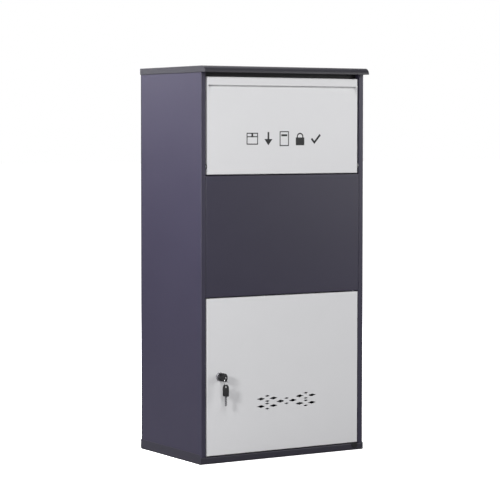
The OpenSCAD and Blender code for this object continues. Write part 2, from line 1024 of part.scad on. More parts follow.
left_side();
right_side();
back_panel();
base_pan();
top_cap();
head_rail();
mid_panel();
mid_stiffener();
chute_baffle();
hopper_pivot_pins();
hopper_stop_brackets();
hopper_buffers();
lower_hinge_lug();
upper_hinge_pin();
lower_hinge_pin();
door_seal();
back_rivets();
mid_rivets();
hopper_front();
hopper_floor();
left_cheek();
right_cheek();
hopper_stiffener();
hopper_bushes();
hopper_stop_studs();
hopper_rivets();
front_pictograms();
door_skin();
door_stiffener();
door_bushes();
lock_body();
lock_nut();
lock_plug();
lock_cam();
cam_screw();
key_blade();
key_head();
key_ring();
spare_key_blade();
spare_key_head();
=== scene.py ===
"""Looks of the parcel drop box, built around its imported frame.

Lengths are in metres, +Z is up and the front faces -Y. Each sub-assembly is a class that holds its
sizes, builds its pieces in place and dresses them. Every piece rides on the body it belongs to.
"""

import logging
import math
from dataclasses import dataclass
from enum import Enum
from typing import Iterable, Optional, Union

import bmesh
import bpy
from mathutils import Matrix, Vector


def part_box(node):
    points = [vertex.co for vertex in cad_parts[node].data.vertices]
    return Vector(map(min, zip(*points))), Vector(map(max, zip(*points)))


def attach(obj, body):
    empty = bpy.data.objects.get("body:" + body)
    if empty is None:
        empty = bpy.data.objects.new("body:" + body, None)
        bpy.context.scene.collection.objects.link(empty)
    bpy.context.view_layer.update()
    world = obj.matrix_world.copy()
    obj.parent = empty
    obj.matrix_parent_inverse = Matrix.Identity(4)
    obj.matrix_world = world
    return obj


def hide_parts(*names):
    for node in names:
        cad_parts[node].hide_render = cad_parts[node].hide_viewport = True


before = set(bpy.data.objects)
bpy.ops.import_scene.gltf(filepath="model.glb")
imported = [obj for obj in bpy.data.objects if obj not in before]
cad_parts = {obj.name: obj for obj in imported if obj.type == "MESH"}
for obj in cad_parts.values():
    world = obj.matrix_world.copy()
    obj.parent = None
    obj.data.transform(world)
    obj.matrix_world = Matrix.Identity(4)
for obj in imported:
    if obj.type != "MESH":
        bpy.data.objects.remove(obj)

log = logging.getLogger("parcel_box")

Colour = tuple[float, float, float]
Operand = Union["Tap", float]
Point = tuple[float, float]

MM = 0.001
MERGE_GAP = 1e-6  # corners closer than this become one
FLAT_ANGLE = math.radians(0.5)  # faces that differ by less become one
EDGE_ANGLE = math.radians(38)  # sharper edges are softened
POST_ANGLE = math.radians(50)  # sharper corners of a printed sign are rounded
CORNER_STEPS = 6  # faces round a plate's corner


# ---------------------------------------------------------------- shader maths


class Tap:
    """One output socket of a node tree, which takes part in Python arithmetic."""

    def __init__(self, graph: "Graph", socket: bpy.types.NodeSocket) -> None:
        """Keeps the socket and the graph that new nodes go to."""
        self.graph = graph
        self.socket = socket

    def _maths(self, operation: str, *terms: Operand) -> "Tap":
        """Adds one Math node.

        Args:
            operation: The Math node's operation.
            terms: Its values or links, in order.

        Returns:
            The node's result.
        """
        return self.graph.node("ShaderNodeMath", {"operation": operation}, dict(enumerate(terms)))

    def __add__(self, other: Operand) -> "Tap":
        """Adds."""
        return self._maths("ADD", self, other)

    def __sub__(self, other: Operand) -> "Tap":
        """Subtracts."""
        return self._maths("SUBTRACT", self, other)

    def __rsub__(self, other: Operand) -> "Tap":
        """Subtracts from a number."""
        return self._maths("SUBTRACT", other, self)

    def __mul__(self, other: Operand) -> "Tap":
        """Multiplies."""
        return self._maths("MULTIPLY", self, other)

    __radd__ = __add__
    __rmul__ = __mul__

    def ramp(self, low: float, high: float) -> "Tap":
        """Rises smoothly from 0 at low to 1 at high.

        Args:
            low: Value at which the result is 0.
            high: Value at which the result is 1.

        Returns:
            The mapped value.
        """
        settings = {"interpolation_type": "SMOOTHSTEP"}
        return self.graph.node("ShaderNodeMapRange", settings, {0: self, 1: low, 2: high})


class Graph:
    """A node tree that is filled through one method."""

    def __init__(self, owner: Union[bpy.types.Material, bpy.types.World]) -> None:
        """Empties the owner's node tree and keeps it.

        Args:
            owner: The material or world whose nodes are built.
        """
        owner.use_nodes = True
        self.tree = owner.node_tree
        self.tree.nodes.clear()

    def node(
        self,
        kind: str,
        settings: Optional[dict] = None,
        sockets: Optional[dict] = None,
        output: Union[int, str] = 0,
    ) -> Tap:
        """Adds a node.

        Args:
            kind: The node's type.
            settings: Properties of the node, which are set before its sockets.
            sockets: Values or links, by the input's name or place.
            output: Name or place of the output to return.

        Returns:
            The chosen output.
        """
        made = self.tree.nodes.new(kind)
        for key, value in (settings or {}).items():
            setattr(made, key, value)
        for key, value in (sockets or {}).items():
            if isinstance(value, Tap):
                self.tree.links.new(value.socket, made.inputs[key])
            else:
                made.inputs[key].default_value = value
        return Tap(self, made.outputs[output] if made.outputs else None)

    def place(self, stretch: tuple[float, float, float] = (1, 1, 1)) -> Tap:
        """Object coordinates, stretched where a pattern has a direction.

        Args:
            stretch: Factor along X, Y and Z.

        Returns:
            The coordinates.
        """
        here = self.node("ShaderNodeTexCoord", output="Object")
        if stretch == (1, 1, 1):
            return here
        return self.node("ShaderNodeMapping", None, {"Vector": here, "Scale": stretch})

    def noise(self, place: Tap, size: float, detail: float = 2.0, rough: float = 0.5) -> Tap:
        """A cloudy pattern.

        Args:
            place: Coordinates.
            size: Size of its features, in metres.
            detail: Number of finer layers.
            rough: Strength of the finer layers.

        Returns:
            A value around 0.5.
        """
        sockets = {"Vector": place, "Scale": 1 / size, "Detail": detail, "Roughness": rough}
        return self.node("ShaderNodeTexNoise", None, sockets)

    def cells(self, place: Tap, size: float) -> Tap:
        """Distance to the nearest cell's centre, for cells of the given size in metres."""
        return self.node("ShaderNodeTexVoronoi", None, {"Vector": place, "Scale": 1 / size})

    def blend(self, share: Operand, low: Colour, high: Colour) -> Tap:
        """Mixes two colours.

        Args:
            share: 0 for the first colour, 1 for the second.
            low: First colour.
            high: Second colour.

        Returns:
            The mixed colour.
        """
        settings = {"data_type": "RGBA"}
        return self.node("ShaderNodeMix", settings, {0: share, 6: (*low, 1), 7: (*high, 1)}, 2)

    def relief(self, height: Tap) -> Tap:
        """Turns a height in metres into a normal."""
        return self.node("ShaderNodeBump", None, {"Strength": 1.0, "Distance": 1.0, "Height": height})

    def surface(self, sockets: dict) -> None:
        """Adds the shader with its sockets and the material's output."""
        shader = self.node("ShaderNodeBsdfPrincipled", None, sockets)
        self.node("ShaderNodeOutputMaterial", None, {"Surface": shader})


# ---------------------------------------------------------------- finishes


@dataclass(frozen=True)
class Finish:
    """A finish: what a piece is coated with or made of.

    Attributes:
        slot: The record's material slot.
        colour: Linear base colour.
        roughness: Roughness at its middle.
    """

    slot: str
    colour: Colour
    roughness: float

    def shade(self, factor: float) -> Colour:
        """The base colour made lighter or darker by a factor."""
        return tuple(min(1.0, part * factor) for part in self.colour)

    def material(self) -> bpy.types.Material:
        """Makes the material the first time it is asked for.

        Returns:
            The material.
        """
        name = f"{self.slot}_finish"
        made = bpy.data.materials.get(name)
        if made is None:
            made = bpy.data.materials.new(name)
            self.fill(Graph(made))
        return made

    def fill(self, graph: Graph) -> None:
        """Builds the nodes, which each kind of finish does in its own way."""
        raise NotImplementedError


@dataclass(frozen=True)
class PowderCoat(Finish):
    """Baked powder coat: fine grain, a soft orange peel and faint handling marks.

    Attributes:
        grain_h: Height of the fine grain, in metres.
        peel_h: Height of the orange peel, in metres.
        speck: How much the grain changes the colour.
        grain_size: Size of the fine grain.
        peel_size: Size of the orange peel.
        drift_size: Size of the broad changes of tone.
        marks_size: Size of the handling marks.
        smear: How much rougher the handling marks are.
    """

    grain_h: float = 14e-6
    peel_h: float = 30e-6
    speck: float = 0.1
    grain_size: float = 0.7 * MM
    peel_size: float = 3.2 * MM
    drift_size: float = 0.4
    marks_size: float = 0.07
    smear: float = 0.025

    def fill(self, graph: Graph) -> None:
        """Builds the coat.

        Args:
            graph: The material's node tree.
        """
        here = graph.place()
        grain = graph.noise(here, self.grain_size, 2, 0.55)
        peel = graph.noise(here, self.peel_size, 1, 0.4)
        drift = graph.noise(here, self.drift_size, 3, 0.5)
        marks = graph.noise(here, self.marks_size, 4, 0.62)
        dark, light = self.shade(1 - self.speck), self.shade(1 + self.speck)
        tone = grain * 0.55 + drift * 0.3 + marks * 0.15
        rubbed = marks.ramp(0.42, 0.7)
        graph.surface(
            {
                "Base Color": graph.blend(tone.ramp(0.3, 0.7), dark, light),
                "Roughness": self.roughness + rubbed * self.smear + (grain - 0.5) * 0.12,
                "IOR": 1.5,
                "Normal": graph.relief(grain * self.grain_h + peel * self.peel_h),
            }
        )


@dataclass(frozen=True)
class PlatedSheet(Finish):
    """Zinc-plated sheet: faint crystal patches under fine rolling marks.

    Attributes:
        patch_size: Size of the crystal patches.
        rolled_size: Spacing of the rolling marks.
        rolled_h: Height of the rolling marks.
        stretch: Factors that draw the rolling marks out along X.
        stain_size: Size of the faint stains.
    """

    patch_size: float = 9 * MM
    rolled_size: float = 0.5 * MM
    rolled_h: float = 8e-6
    stretch: tuple[float, float, float] = (0.04, 1, 1)
    stain_size: float = 0.06

    def fill(self, graph: Graph) -> None:
        """Builds the plating.

        Args:
            graph: The material's node tree.
        """
        patches = graph.cells(graph.place(), self.patch_size)
        rolled = graph.noise(graph.place(self.stretch), self.rolled_size, 3, 0.6)
        stain = graph.noise(graph.place(), self.stain_size, 4, 0.6)
        tone = patches * 0.4 + rolled * 0.3 + stain * 0.4
        graph.surface(
            {
                "Base Color": graph.blend(tone, self.shade(0.82), self.shade(1.12)),
                "Roughness": self.roughness + (patches - 0.4) * 0.14 + (rolled - 0.5) * 0.16,
                "Metallic": 1.0,
                "Normal": graph.relief(rolled * self.rolled_h),
            }
        )


@dataclass(frozen=True)
class TurnedMetal(Finish):
    """Plated or polished small metal parts with fine tool marks and light scuffs.

    Attributes:
        mark_h: Height of the tool marks.
        mark_size: Spacing of the tool marks.
        scuff_size: Size of the scuffs.
        stretch: Factors that draw the scuffs out along Z.
        cloud_size: Size of the faint changes of tone.
    """

    mark_h: float = 4e-6
    mark_size: float = 0.25 * MM
    scuff_size: float = 0.9 * MM
    stretch: tuple[float, float, float] = (1, 1, 0.15)
    cloud_size: float = 7 * MM

    def fill(self, graph: Graph) -> None:
        """Builds the metal.

        Args:
            graph: The material's node tree.
        """
        here = graph.place()
        fine = graph.noise(here, self.mark_size, 2, 0.6)
        scuff = graph.noise(graph.place(self.stretch), self.scuff_size, 3, 0.7)
        cloud = graph.noise(here, self.cloud_size, 2, 0.5)
        graph.surface(
            {
                "Base Color": graph.blend(cloud.ramp(0.3, 0.7), self.shade(0.86), self.shade(1.08)),
                "Roughness": self.roughness + scuff.ramp(0.5, 0.75) * 0.18 + (fine - 0.5) * 0.08,
                "Metallic": 1.0,
                "Normal": graph.relief(fine * self.mark_h),
            }
        )


@dataclass(frozen=True)
class MouldedPlastic(Finish):
    """Moulded plastic with a spark-eroded texture, polished a little in patches.

    Attributes:
        texture_size: Size of the texture's pits.
        texture_h: Height of the texture.
        polish_size: Size of the polished patches.
    """

    texture_size: float = 0.35 * MM
    texture_h: float = 12e-6
    polish_size: float = 9 * MM

    def fill(self, graph: Graph) -> None:
        """Builds the plastic.

        Args:
            graph: The material's node tree.
        """
        here = graph.place()
        texture = graph.noise(here, self.texture_size, 2, 0.6)
        polished = graph.noise(here, self.polish_size, 2, 0.5).ramp(0.4, 0.65)
        graph.surface(
            {
                "Base Color": graph.blend(texture, self.shade(0.85), self.shade(1.2)),
                "Roughness": self.roughness - polished * 0.12 + (texture - 0.5) * 0.12,
                "IOR": 1.49,
                "Normal": graph.relief(texture * self.texture_h),
            }
        )


@dataclass(frozen=True)
class SpongeRubber(Finish):
    """Black rubber with a fine closed-cell skin, dusty in patches.

    Attributes:
        cell_size: Size of a cell.
        cell_h: Height of a cell's dome.
        dust_size: Size of the dusty patches.
    """

    cell_size: float = 0.6 * MM
    cell_h: float = 30e-6
    dust_size: float = 12 * MM

    def fill(self, graph: Graph) -> None:
        """Builds the rubber.

        Args:
            graph: The material's node tree.
        """
        here = graph.place()
        cell = graph.cells(here, self.cell_size)
        dust = graph.noise(here, self.dust_size, 3, 0.6)
        graph.surface(
            {
                "Base Color": graph.blend(dust.ramp(0.35, 0.8), self.colour, self.shade(2.0)),
                "Roughness": self.roughness - cell * 0.1,
                "Normal": graph.relief(cell * -self.cell_h),
            }
        )


@dataclass(frozen=True)
class PrintedInk(Finish):
    """Screen-printed ink that lets the coat's grain show through.

    Attributes:
        grain_size: Size of the coat's grain.
        grain_h: Height of the grain that is left.
        cover_size: Size of the patches of thicker and thinner ink.
    """

    grain_size: float = 0.7 * MM
    grain_h: float = 10e-6
    cover_size: float = 2.5 * MM

    def fill(self, graph: Graph) -> None:
        """Builds the ink.

        Args:
            graph: The material's node tree.
        """
        here = graph.place()
        grain = graph.noise(here, self.grain_size, 2, 0.55)
        cover = graph.noise(here, self.cover_size, 3, 0.6)
        graph.surface(
            {
                "Base Color": graph.blend(cover.ramp(0.3, 0.75), self.shade(0.8), self.shade(1.3)),
                "Roughness": self.roughness + (grain - 0.5) * 0.2,
                "Normal": graph.relief(grain * self.grain_h),
            }
        )


DARK_COAT = PowderCoat("body_coat", (0.031, 0.0275, 0.050), 0.42)
CAP_COAT = PowderCoat("cap_coat", (0.026, 0.025, 0.032), 0.42)
BASE_COAT = PowderCoat("base_coat", (0.027, 0.025, 0.037), 0.42)
# Near-black coat: the lower hinge lug's own black coat, made darker than black paint. On the head rail it
# is painted shade that stands in for the shadow in the gap under the cap.
NEAR_BLACK_COAT_AND_GAP_SHADE = PowderCoat("lug_coat", (0.007, 0.007, 0.009), 0.55)
LIGHT_COAT = PowderCoat("panel_coat", (0.69, 0.69, 0.7), 0.4, grain_h=9e-6, peel_h=24e-6, speck=0.025)
ZINC_SHEET = PlatedSheet("zinc_sheet", (0.55, 0.56, 0.58), 0.38)
ZINC_PARTS = TurnedMetal("zinc_fastener", (0.4, 0.4, 0.41), 0.36)
LOCK_METAL = TurnedMetal("lock_metal", (0.42, 0.42, 0.44), 0.33, mark_h=2e-6)
KEY_STEEL = TurnedMetal("key_steel", (0.56, 0.56, 0.57), 0.22, mark_h=3e-6, mark_size=0.15 * MM)
KEY_PLASTIC = MouldedPlastic("key_plastic", (0.003, 0.003, 0.0035), 0.6)
NYLON = MouldedPlastic("nylon", (0.012, 0.012, 0.013), 0.5)
RUBBER = SpongeRubber("rubber", (0.016, 0.016, 0.017), 0.85)
INK = PrintedInk("print_ink", (0.014, 0.014, 0.015), 0.55)


# ---------------------------------------------------------------- shaping


class Way(Enum):
    """Where a turned shape's axis points: the angle and axis that turn +Z that way."""

    RIGHT = (math.pi / 2, "Y")
    LEFT = (-math.pi / 2, "Y")
    BACK = (-math.pi / 2, "X")
    FRONT = (math.pi / 2, "X")

    def at(self, foot: Vector) -> Matrix:
        """A place at the given foot whose local Z axis points this way."""
        return Matrix.Translation(foot) @ Matrix.Rotation(self.value[0], 4, self.value[1])


class Edge(Enum):
    """How a piece's sharp edges are softened: width in metres and number of segments."""

    SHEET = (0.22 * MM, 2)
    TURNED = (0.3 * MM, 2)
    CAST = (0.45 * MM, 3)
    SPONGE = (1.3 * MM, 4)
    KEEN = (0.12 * MM, 2)
    NONE = (0.0, 0)


class Form:
    """A bmesh with the shaping steps that the pieces share."""

    def __init__(self) -> None:
        """Starts empty."""
        self.bm = bmesh.new()

    @classmethod
    def of_node(cls, name: str) -> "Form":
        """Starts from a merged copy of a frame node's mesh, its flat faces joined up.

        Args:
            name: The frame node.

        Returns:
            The form.
        """
        form = cls()
        form.bm.from_mesh(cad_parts[name].data)
        bm = form.bm
        bmesh.ops.remove_doubles(bm, verts=bm.verts, dist=MERGE_GAP)
        bmesh.ops.recalc_face_normals(bm, faces=bm.faces)
        bmesh.ops.dissolve_limit(bm, angle_limit=FLAT_ANGLE, verts=bm.verts, edges=bm.edges)
        return form

    def islands(self) -> list[tuple[Vector, Vector]]:
        """Finds the separate solids.

        Returns:
            The lowest and highest corner of each, in order.
        """
        left = set(self.bm.verts)
        boxes = []
        while left:
            queue = [left.pop()]
            group = []
            while queue:
                vert = queue.pop()
                group.append(vert.co)
                for edge in vert.link_edges:
                    other = edge.other_vert(vert)
                    if other in left:
                        left.remove(other)
                        queue.append(other)
            low = Vector([min(co[i] for co in group) for i in range(3)])
            high = Vector([max(co[i] for co in group) for i in range(3)])
            boxes.append((low, high))
        return sorted(boxes, key=lambda box: tuple(box[0]))

    def lathe(self, profile: Iterable[Point], place: Matrix, steps: int, closed: bool = False) -> None:
        """Turns a profile about the local Z axis.

        Args:
            profile: Radius and height of each corner.
            place: Where the turned shape goes.
            steps: Number of faces round it.
            closed: True if the profile's last corner joins its first, as on a ring.
        """
        shape = bmesh.new()
        outline = [shape.verts.new((radius, 0, height)) for radius, height in profile]
        pairs = list(zip(outline, outline[1:]))
        if closed:
            pairs.append((outline[-1], outline[0]))
        chain = [shape.edges.new(pair) for pair in pairs]
        bmesh.ops.spin(
            shape, geom=outline + chain, axis=(0, 0, 1), cent=(0, 0, 0),
            steps=steps, angle=math.tau, use_merge=True,
        )
        bmesh.ops.remove_doubles(shape, verts=shape.verts, dist=MERGE_GAP)
        self.take(shape, place)

    def plate(self, width: float, height: float, thick: float, radius: float, place: Matrix) -> None:
        """Adds a plate with rounded corners, centred on the local origin.

        Args:
            width: Size along the local X axis.
            height: Size along the local Y axis.
            thick: Size along the local Z axis.
            radius: Corner radius.
            place: Where the plate goes.
        """
        shape = bmesh.new()
        bmesh.ops.create_grid(shape, x_segments=1, y_segments=1, size=0.5)
        bmesh.ops.scale(shape, vec=(width, height, 1), verts=shape.verts)
        bmesh.ops.bevel(
            shape, geom=list(shape.verts), offset=radius, offset_type="OFFSET",
            segments=CORNER_STEPS, profile=0.5, affect="VERTICES", material=-1,
        )
        made = bmesh.ops.extrude_face_region(shape, geom=list(shape.faces))
        raised = [item for item in made["geom"] if isinstance(item, bmesh.types.BMVert)]
        bmesh.ops.translate(shape, vec=(0, 0, thick), verts=raised)
        bmesh.ops.translate(shape, vec=(0, 0, -thick / 2), verts=shape.verts)
        self.take(shape, place)

    def take(self, shape: bmesh.types.BMesh, place: Matrix) -> None:
        """Moves another bmesh into place, turns its faces outwards and adds it to this one.

        Args:
            shape: The bmesh, which is used up.
            place: Where it goes.
        """
        bmesh.ops.transform(shape, matrix=place, verts=shape.verts)
        bmesh.ops.recalc_face_normals(shape, faces=shape.faces)
        mesh = bpy.data.meshes.new("part")
        shape.to_mesh(mesh)
        shape.free()
        self.bm.from_mesh(mesh)
        bpy.data.meshes.remove(mesh)

    def piece(self, name: str, finish: Finish, body: str, nodes: Iterable[str], edge: Edge) -> None:
        """Finishes the form as a piece of the model.

        Args:
            name: The piece's name.
            finish: What it is coated with or made of.
            body: The body it rides on.
            nodes: The frame nodes it stands for.
            edge: How its sharp edges are softened.
        """
        for face in self.bm.faces:
            face.smooth = True
        mesh = bpy.data.meshes.new(name)
        self.bm.to_mesh(mesh)
        self.bm.free()
        made = bpy.data.objects.new(name, mesh)
        bpy.context.scene.collection.objects.link(made)
        width, segments = edge.value
        if segments:
            bevel = made.modifiers.new("soft_edges", "BEVEL")
            bevel.width = width
            bevel.segments = segments
            bevel.limit_method = "ANGLE"
            bevel.angle_limit = EDGE_ANGLE
            bevel.use_clamp_overlap = True
        weigh = made.modifiers.new("flat_faces", "WEIGHTED_NORMAL")
        weigh.keep_sharp = True
        mesh.materials.append(finish.material())
        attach(made, body)
        for node in nodes:
            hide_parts(node)
        log.info("%s rides on %s, %s, %d faces", name, body, finish.slot, len(mesh.polygons))


def refine(node: str, finish: Finish, body: str, edge: Edge, suffix: str) -> None:
    """Makes a piece from a frame node's own shape, with its edges softened.

    Args:
        node: The frame node.
        finish: What it is coated with or made of.
        body: The body it rides on.
        edge: How its sharp edges are softened.
        suffix: What the piece's name adds to the node's.
    """
    Form.of_node(node).piece(f"{node}_{suffix}", finish, body, [node], edge)


def mean(one: float, other: float) -> float:
    """Halfway between two numbers."""
    return (one + other) / 2


@dataclass(frozen=True)
class DomedRivet:
    """A blind rivet: a domed head, a shank and a flared tail.

    Attributes:
        head_r: Radius of the head.
        head_h: Height of the dome.
        shank_r: Radius of the shank.
        tail_h: Length of the tail.
        flare: How far the tail stands out from the shank.
        rim: Share of the head's height that its straight rim takes.
        mandrel_r: Radius of the hollow that the mandrel leaves in the tail.
        mandrel_h: Depth of that hollow.
        pit_r: Radius of the pit in the dome, at its bottom.
        pit_h: Depth of the pit.
        pit_edge: Width and height of the slope round the pit.
        sides: Number of faces round it.
    """

    head_r: float = 4.0 * MM
    head_h: float = 1.4 * MM
    shank_r: float = 2.0 * MM
    tail_h: float = 1.2 * MM
    flare: float = 0.7 * MM
    rim: float = 0.25
    mandrel_r: float = 0.6 * MM
    mandrel_h: float = 0.4 * MM
    pit_r: float = 0.9 * MM
    pit_h: float = 0.5 * MM
    pit_edge: float = 0.1 * MM
    sides: int = 24

    def profile(self, length: float) -> list[Point]:
        """Radius and height from the tail's end to the top of the dome.

        Args:
            length: Whole length of the rivet.

        Returns:
            The profile's corners.
        """
        seat = length - self.head_h
        tail_r = self.shank_r + self.flare
        hollow = [(0, self.mandrel_h), (self.mandrel_r, self.mandrel_h), (self.mandrel_r, 0)]
        tail = [(tail_r * 0.8, 0), (tail_r, self.tail_h * 0.4), (tail_r, self.tail_h)]
        shank = [(self.shank_r, self.tail_h), (self.shank_r, seat)]
        dome = [(self.head_r, seat)]
        for step in range(6):
            rise = math.radians(15 * step)
            height = self.rim + (1 - self.rim) * math.sin(rise)
            dome.append((self.head_r * math.cos(rise), seat + self.head_h * height))
        floor = length - self.pit_h
        pit = [(self.pit_r + self.pit_edge, length - self.pit_edge), (self.pit_r, floor), (0, floor)]
        return [*hollow, *tail, *shank, *dome, *pit]


@dataclass(frozen=True)
class PushInBuffer:
    """A moulded rubber buffer: a rounded tip, a neck in the rail's hole and a barb behind it.

    Attributes:
        tip_h: Height of the tip.
        edge_h: Height of the rounding round the tip.
        barb_h: Length of the barb.
        neck: Radius of the neck, as a share of the tip's.
        barb: Radius of the barb, as a share of the tip's.
        sides: Number of faces round it.
    """

    tip_h: float = 2.2 * MM
    edge_h: float = 1.0 * MM
    barb_h: float = 2.0 * MM
    neck: float = 0.5
    barb: float = 0.8
    sides: int = 28

    def profile(self, radius: float, length: float) -> list[Point]:
        """Radius and height from the tip's face to the end of the barb.

        Args:
            radius: Radius of the tip.
            length: Whole length of the buffer.

        Returns:
            The profile's corners.
        """
        step = length - self.barb_h
        face = [(0, 0), (radius * 0.62, 0), (radius * 0.88, self.edge_h * 0.35)]
        tip = [(radius, self.edge_h), (radius, self.tip_h)]
        neck = [(radius * self.neck, self.tip_h), (radius * self.neck, step)]
        barb = [(radius * self.barb, step), (radius * 0.55, length), (0, length)]
        return [*face, *tip, *neck, *barb]


@dataclass(frozen=True)
class PanScrew:
    """A pan-head screw with a round drive.

    Attributes:
        head_h: Height of the head.
        shank_r: Radius of the shank.
        chamfer: Width of the chamfer at the shank's end.
        drive_r: Radius of the drive at its mouth.
        drive_h: Depth of the drive's wall.
        sides: Number of faces round it.
    """

    head_h: float = 3.0 * MM
    shank_r: float = 2.0 * MM
    chamfer: float = 0.4 * MM
    drive_r: float = 2.2 * MM
    drive_h: float = 1.4 * MM
    sides: int = 36

    def profile(self, radius: float, length: float) -> list[Point]:
        """Radius and height from the shank's end to the drive's bottom.

        Args:
            radius: Radius of the head.
            length: Whole length of the screw.

        Returns:
            The profile's corners.
        """
        seat = length - self.head_h
        point = [(0, 0), (self.shank_r - self.chamfer, 0)]
        shank = [(self.shank_r, self.chamfer), (self.shank_r, seat)]
        pan = [(1.0, 0.0), (1.0, 0.35), (0.93, 0.62), (0.75, 0.86), (0.45, 1.0)]
        head = [(radius * out, seat + self.head_h * up) for out, up in pan]
        floor = length - self.drive_h
        drive = [(self.drive_r, length), (self.drive_r - 0.5 * MM, floor), (0, floor - 0.3 * MM)]
        return [*point, *shank, *head, *drive]


# ---------------------------------------------------------------- cabinet


@dataclass
class Cabinet:
    """The fixed sheet-metal carcass with its fittings.

    Attributes:
        body: Name of the body the pieces ride on.
        rivet: Shape of the rivets in the back panel.
        buffer: Shape of the buffers in the head rail.
    """

    body: str = "cabinet"
    rivet: DomedRivet = DomedRivet()
    buffer: PushInBuffer = PushInBuffer()

    def build(self) -> None:
        """Builds the shells, then the fittings."""
        self.shells()
        self.back_rivets()
        self.buffers()
        self.fittings()

    def shells(self) -> None:
        """The folded sheets."""
        dark = ("left_side", "right_side", "back_panel", "mid_panel", "chute_baffle")
        for node in dark:
            refine(node, DARK_COAT, self.body, Edge.SHEET, "shell")
        refine("top_cap", CAP_COAT, self.body, Edge.SHEET, "shell")
        refine("base_pan", BASE_COAT, self.body, Edge.SHEET, "shell")
        # Painted shade: the near-black coat makes the head rail, deep in the gap under the cap's overhang,
        # as dark as a shadow.
        refine("head_rail", NEAR_BLACK_COAT_AND_GAP_SHADE, self.body, Edge.SHEET, "shell")
        refine("mid_stiffener", ZINC_SHEET, self.body, Edge.SHEET, "shell")

    def back_rivets(self) -> None:
        """Domed rivets with their heads outside the back panel."""
        form = Form()
        for low, high in Form.of_node("back_rivets").islands():
            foot = Vector((mean(low.x, high.x), low.y, mean(low.z, high.z)))
            form.lathe(self.rivet.profile(high.y - low.y), Way.BACK.at(foot), self.rivet.sides)
        form.piece("back_rivets_domed", ZINC_PARTS, self.body, ["back_rivets"], Edge.NONE)

    def buffers(self) -> None:
        """The rubber buffers that the hopper shuts against."""
        form = Form()
        for low, high in Form.of_node("hopper_buffers").islands():
            foot = Vector((mean(low.x, high.x), low.y, mean(low.z, high.z)))
            profile = self.buffer.profile((high.x - low.x) / 2, high.y - low.y)
            form.lathe(profile, Way.BACK.at(foot), self.buffer.sides)
        form.piece("hopper_buffers_moulded", RUBBER, self.body, ["hopper_buffers"], Edge.NONE)

    def fittings(self) -> None:
        """Pins, brackets, the lower hinge lug, the seal and the inner rivets."""
        for node in ("hopper_pivot_pins", "upper_hinge_pin", "lower_hinge_pin", "mid_rivets"):
            refine(node, ZINC_PARTS, self.body, Edge.TURNED, "turned")
        refine("hopper_stop_brackets", ZINC_SHEET, self.body, Edge.TURNED, "bent")
        refine("lower_hinge_lug", NEAR_BLACK_COAT_AND_GAP_SHADE, self.body, Edge.CAST, "pressed")
        refine("door_seal", RUBBER, self.body, Edge.SPONGE, "sponge")


# ---------------------------------------------------------------- hopper


@dataclass
class Hopper:
    """The tilting parcel hopper.

    Attributes:
        body: Name of the body the pieces ride on.
        rivet: Shape of the rivets that join the cheeks to the floor.
        ink_t: Thickness of the printed signs.
        ink_corner: How much the printed signs' corners are rounded.
    """

    body: str = "hopper"
    rivet: DomedRivet = DomedRivet(head_r=3.4 * MM, head_h=1.1 * MM, tail_h=1.0 * MM)
    ink_t: float = 0.06 * MM
    ink_corner: float = 0.7 * MM

    def build(self) -> None:
        """Builds the panels, their joints and the signs."""
        for node in ("hopper_front", "hopper_floor", "left_cheek", "right_cheek"):
            refine(node, LIGHT_COAT, self.body, Edge.SHEET, "shell")
        refine("hopper_stiffener", ZINC_SHEET, self.body, Edge.SHEET, "shell")
        refine("hopper_bushes", NYLON, self.body, Edge.TURNED, "moulded")
        refine("hopper_stop_studs", ZINC_PARTS, self.body, Edge.TURNED, "turned")
        self.rivets()
        self.signs()

    def rivets(self) -> None:
        """Rivets with their heads outside the cheeks."""
        form = Form()
        for low, high in Form.of_node("hopper_rivets").islands():
            way, inner = (Way.RIGHT, low.x) if low.x > 0 else (Way.LEFT, high.x)
            foot = Vector((inner, mean(low.y, high.y), mean(low.z, high.z)))
            form.lathe(self.rivet.profile(high.x - low.x), way.at(foot), self.rivet.sides)
        form.piece("hopper_rivets_domed", ZINC_PARTS, self.body, ["hopper_rivets"], Edge.NONE)

    def signs(self) -> None:
        """The five printed signs, thinned to an ink film with rounded corners."""
        form = Form.of_node("front_pictograms")
        bm = form.bm
        low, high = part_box("front_pictograms")
        back = Vector((0, high.y, 0))
        thin = Matrix.Scale(self.ink_t / (high.y - low.y), 4, (0, 1, 0))
        flat = Matrix.Translation(back) @ thin @ Matrix.Translation(-back)
        bmesh.ops.transform(bm, matrix=flat, verts=bm.verts)
        posts = [
            edge for edge in bm.edges
            if abs(edge.verts[0].co.y - edge.verts[1].co.y) > self.ink_t / 2
            and edge.calc_face_angle(0) > POST_ANGLE
        ]
        bmesh.ops.bevel(
            bm, geom=posts, offset=self.ink_corner, offset_type="OFFSET", segments=3, profile=0.5,
            affect="EDGES", material=-1, clamp_overlap=True,
        )
        form.piece("front_signs_printed", INK, self.body, ["front_pictograms"], Edge.NONE)


# ---------------------------------------------------------------- door and lock


@dataclass
class CollectionDoor:
    """The locked collection door.

    Attributes:
        body: Name of the body the pieces ride on.
    """

    body: str = "door"

    def build(self) -> None:
        """Builds the skin, its rib and the hinge bushes."""
        refine("door_skin", LIGHT_COAT, self.body, Edge.SHEET, "shell")
        refine("door_stiffener", ZINC_SHEET, self.body, Edge.SHEET, "shell")
        refine("door_bushes", NYLON, self.body, Edge.TURNED, "moulded")


